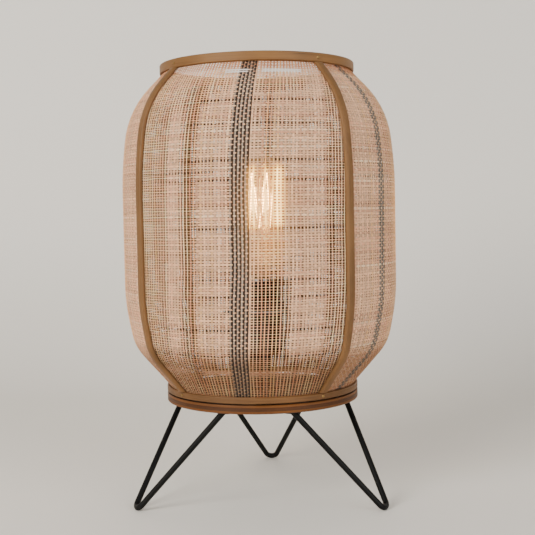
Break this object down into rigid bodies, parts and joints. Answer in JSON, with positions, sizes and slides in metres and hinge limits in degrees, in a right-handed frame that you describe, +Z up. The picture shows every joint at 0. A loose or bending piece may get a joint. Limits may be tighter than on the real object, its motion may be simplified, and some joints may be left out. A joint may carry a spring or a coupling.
{
  "type": "table lamp with shade",
  "caption": "Table lamp with a barrel shade of open-weave linen on bamboo ribs and hoops, a round plywood base, black hairpin legs and a caged-filament screw bulb.",
  "frame": {"origin": "on the floor, below the centre of the lamp", "axes": "+Z up along the shade's axis; the single rear leg points to +Y, the other two to the front left and right"},
  "size_m": [0.29, 0.294, 0.459],
  "materials": {
    "plywood": "satin, three bamboo plies showing at the edge",
    "bamboo": "satin split bamboo",
    "bamboo_rib": "satin, darker stained bamboo",
    "linen": "open loose weave, natural",
    "black_steel": "matt black powder coat",
    "black_wire": "satin black",
    "black_screws": "black",
    "plain_steel": "zinc plated",
    "rivets": "plain",
    "brass": "plain",
    "brass_pins": "dull",
    "bakelite": "black moulded, semi-gloss",
    "black_plastic": "matt",
    "ceramic": "off-white steatite",
    "solder": "soft solder",
    "black_glass": "black vitrite",
    "cap_metal": "plated screw cap",
    "clear_glass": "clear, faint amber",
    "lead_wire": "plain",
    "hook_wire": "plain",
    "filament": "glowing"
  },
  "bodies": {
    "lamp": {"base_plate": "plywood", "hairpin_leg_1": "black_steel", "hairpin_leg_2": "black_steel", "hairpin_leg_3": "black_steel", "leg_screws": "black_screws", "nipple": "plain_steel", "lock_nut": "plain_steel", "lock_washer": "plain_steel", "cord_bush": "black_plastic", "stem_flange": "black_steel", "stem_tube": "black_steel", "holder_cap": "bakelite", "holder_core": "ceramic", "centre_contact": "brass", "side_contacts": "brass", "terminal_screws": "brass", "screw_sleeve": "brass", "holder_skirt": "bakelite", "fitter_ring": "black_wire", "fitter_arms": "black_wire", "fitter_pads": "black_wire", "fitter_rivets": "rivets", "top_hoop": "bamboo", "top_hoop_inner": "bamboo", "bottom_hoop": "bamboo", "bottom_hoop_inner": "bamboo", "hoop_pins": "brass_pins", "rib_1": "bamboo_rib", "rib_2": "bamboo_rib", "rib_3": "bamboo_rib", "rib_4": "bamboo_rib", "fabric_panel_1": "linen", "fabric_panel_2": "linen", "fabric_panel_3": "linen", "fabric_panel_4": "linen"},
    "nut_washer": {"ring_washer": "plain_steel"},
    "ring_nut": {"shade_nut": "bakelite"},
    "bulb_base": {"bulb_tip": "solder", "bulb_insulator": "black_glass"},
    "bulb": {"bulb_cap": "cap_metal", "bulb_glass": "clear_glass", "bulb_mount": "clear_glass", "lead_wires": "lead_wire", "filament_hooks": "hook_wire", "filament": "filament"}
  },
  "joints": [
    {"name": "bulb_lift", "type": "slide", "parent": "lamp", "child": "bulb_base", "axis": [0, 0, 1], "range_m": [0, 0.0255]},
    {"name": "bulb_turn", "type": "hinge", "parent": "bulb_base", "child": "bulb", "pos_m": [0, 0, 0.23], "axis": [0, 0, 1], "range_deg": [0, 2520]},
    {"name": "nut_lift", "type": "slide", "parent": "lamp", "child": "nut_washer", "axis": [0, 0, 1], "range_m": [0, 0.0251]},
    {"name": "nut_turn", "type": "hinge", "parent": "nut_washer", "child": "ring_nut", "pos_m": [0, 0, 0.2], "axis": [0, 0, 1], "range_deg": [0, 3600]}
  ],
  "couplings": [
    {"joint": "bulb_lift", "follows": "bulb_turn", "m_per_rad": 0.00057754},
    {"joint": "nut_lift", "follows": "nut_turn", "m_per_rad": 0.00039789}
  ]
}
